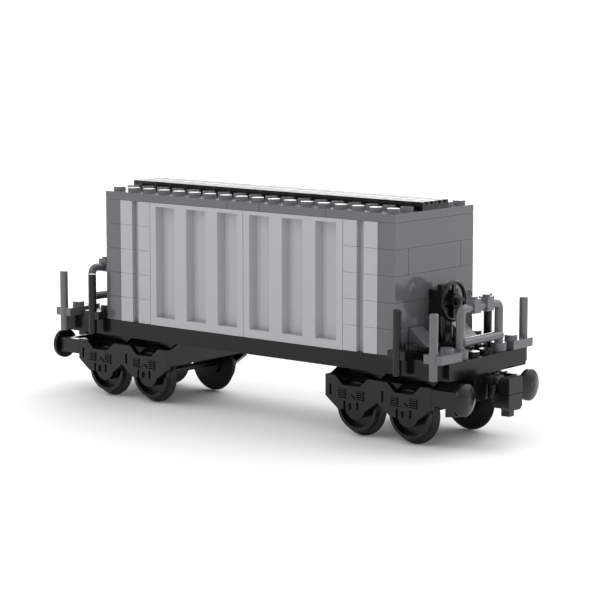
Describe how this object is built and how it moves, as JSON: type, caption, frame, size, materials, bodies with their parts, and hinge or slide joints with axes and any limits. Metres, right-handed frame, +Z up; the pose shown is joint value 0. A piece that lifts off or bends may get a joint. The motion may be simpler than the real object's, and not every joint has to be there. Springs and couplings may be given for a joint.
{
  "type": "model box car",
  "caption": "Toy railway box car built from studded plastic bricks: closed grey van body on a black deck, two swivelling bogies, swinging couplers and a turning brake wheel.",
  "frame": {"origin": "on the ground under the middle of the car, level with the bottoms of the wheel flanges", "axes": "+X along the car towards the end with the brake wheel, +Y to the car's left side, +Z up"},
  "size_m": [0.216, 0.0592, 0.0866],
  "materials": {
    "deck_black": "glossy moulded plastic",
    "wall_light_grey": "glossy moulded plastic",
    "wall_dark_grey": "glossy moulded plastic",
    "roof_dark_grey": "glossy moulded plastic",
    "trim_black": "glossy moulded plastic",
    "trim_grey": "glossy moulded plastic",
    "running_gear_black": "moulded plastic, slightly less glossy",
    "axle_steel": "blackened steel rod"
  },
  "bodies": {
    "car_body": {"deck": "deck_black", "right_front_wall_panel": "wall_light_grey", "right_rear_wall_panel": "wall_light_grey", "left_front_wall_panel": "wall_light_grey", "left_rear_wall_panel": "wall_light_grey", "right_front_grooved_bricks": "wall_light_grey", "right_rear_grooved_bricks": "wall_light_grey", "left_front_grooved_bricks": "wall_light_grey", "left_rear_grooved_bricks": "wall_light_grey", "front_end_wall_bricks": "wall_dark_grey", "front_end_short_brick": "wall_dark_grey", "front_end_corner_bricks": "wall_dark_grey", "rear_end_wall_bricks": "wall_dark_grey", "rear_end_short_brick": "wall_dark_grey", "rear_end_corner_bricks": "wall_dark_grey", "roof_long_plate": "roof_dark_grey", "roof_narrow_plate": "roof_dark_grey", "roof_middle_plate": "roof_dark_grey", "roof_front_plate": "roof_dark_grey", "roof_right_grilles": "trim_black", "roof_left_grilles": "trim_black", "outer_clip_plates": "trim_grey", "outer_grab_bars": "trim_grey", "inner_clip_plates": "trim_black", "inner_grab_bars": "trim_black", "front_railing": "trim_grey", "rear_railing": "trim_grey", "brake_jumper_plate": "trim_black", "slope_base_plates": "trim_black", "brake_stand_slopes": "trim_grey", "brake_column": "trim_black", "brake_carrier_brick": "trim_black"},
    "brake_wheel": {"brake_wheel": "trim_black"},
    "front_bogie": {"front_bogie_plate": "running_gear_black", "front_king_pin": "running_gear_black", "front_buffer_beam": "running_gear_black", "front_coupler_pin": "running_gear_black", "front_outer_wheel_holder": "running_gear_black", "front_inner_wheel_holder": "running_gear_black"},
    "front_coupler": {"front_coupler": "running_gear_black"},
    "front_outer_wheelset": {"front_outer_wheels": "running_gear_black", "front_outer_axle": "axle_steel"},
    "front_inner_wheelset": {"front_inner_wheels": "running_gear_black", "front_inner_axle": "axle_steel"},
    "rear_bogie": {"rear_bogie_plate": "running_gear_black", "rear_king_pin": "running_gear_black", "rear_buffer_beam": "running_gear_black", "rear_coupler_pin": "running_gear_black", "rear_outer_wheel_holder": "running_gear_black", "rear_inner_wheel_holder": "running_gear_black"},
    "rear_coupler": {"rear_coupler": "running_gear_black"},
    "rear_outer_wheelset": {"rear_outer_wheels": "running_gear_black", "rear_outer_axle": "axle_steel"},
    "rear_inner_wheelset": {"rear_inner_wheels": "running_gear_black", "rear_inner_axle": "axle_steel"}
  },
  "joints": [
    {"name": "brake_wheel_turn", "type": "hinge", "parent": "car_body", "child": "brake_wheel", "pos_m": [0.0803, 0, 0.0506], "axis": [1, 0, 0], "continuous": true},
    {"name": "front_bogie_swivel", "type": "hinge", "parent": "car_body", "child": "front_bogie", "pos_m": [0.064, 0, 0.0258], "axis": [0, 0, 1], "range_deg": [-35, 35]},
    {"name": "front_coupler_swing", "type": "hinge", "parent": "front_bogie", "child": "front_coupler", "pos_m": [0.0986, 0, 0.0197], "axis": [0, 0, 1], "range_deg": [-15, 15]},
    {"name": "front_outer_wheelset_roll", "type": "hinge", "parent": "front_bogie", "child": "front_outer_wheelset", "pos_m": [0.076, 0, 0.0113], "axis": [0, 1, 0], "continuous": true},
    {"name": "front_inner_wheelset_roll", "type": "hinge", "parent": "front_bogie", "child": "front_inner_wheelset", "pos_m": [0.052, 0, 0.0113], "axis": [0, 1, 0], "continuous": true},
    {"name": "rear_bogie_swivel", "type": "hinge", "parent": "car_body", "child": "rear_bogie", "pos_m": [-0.064, 0, 0.0258], "axis": [0, 0, 1], "range_deg": [-35, 35]},
    {"name": "rear_coupler_swing", "type": "hinge", "parent": "rear_bogie", "child": "rear_coupler", "pos_m": [-0.0986, 0, 0.0197], "axis": [0, 0, 1], "range_deg": [-15, 15]},
    {"name": "rear_outer_wheelset_roll", "type": "hinge", "parent": "rear_bogie", "child": "rear_outer_wheelset", "pos_m": [-0.076, 0, 0.0113], "axis": [0, 1, 0], "continuous": true},
    {"name": "rear_inner_wheelset_roll", "type": "hinge", "parent": "rear_bogie", "child": "rear_inner_wheelset", "pos_m": [-0.052, 0, 0.0113], "axis": [0, 1, 0], "continuous": true}
  ]
}
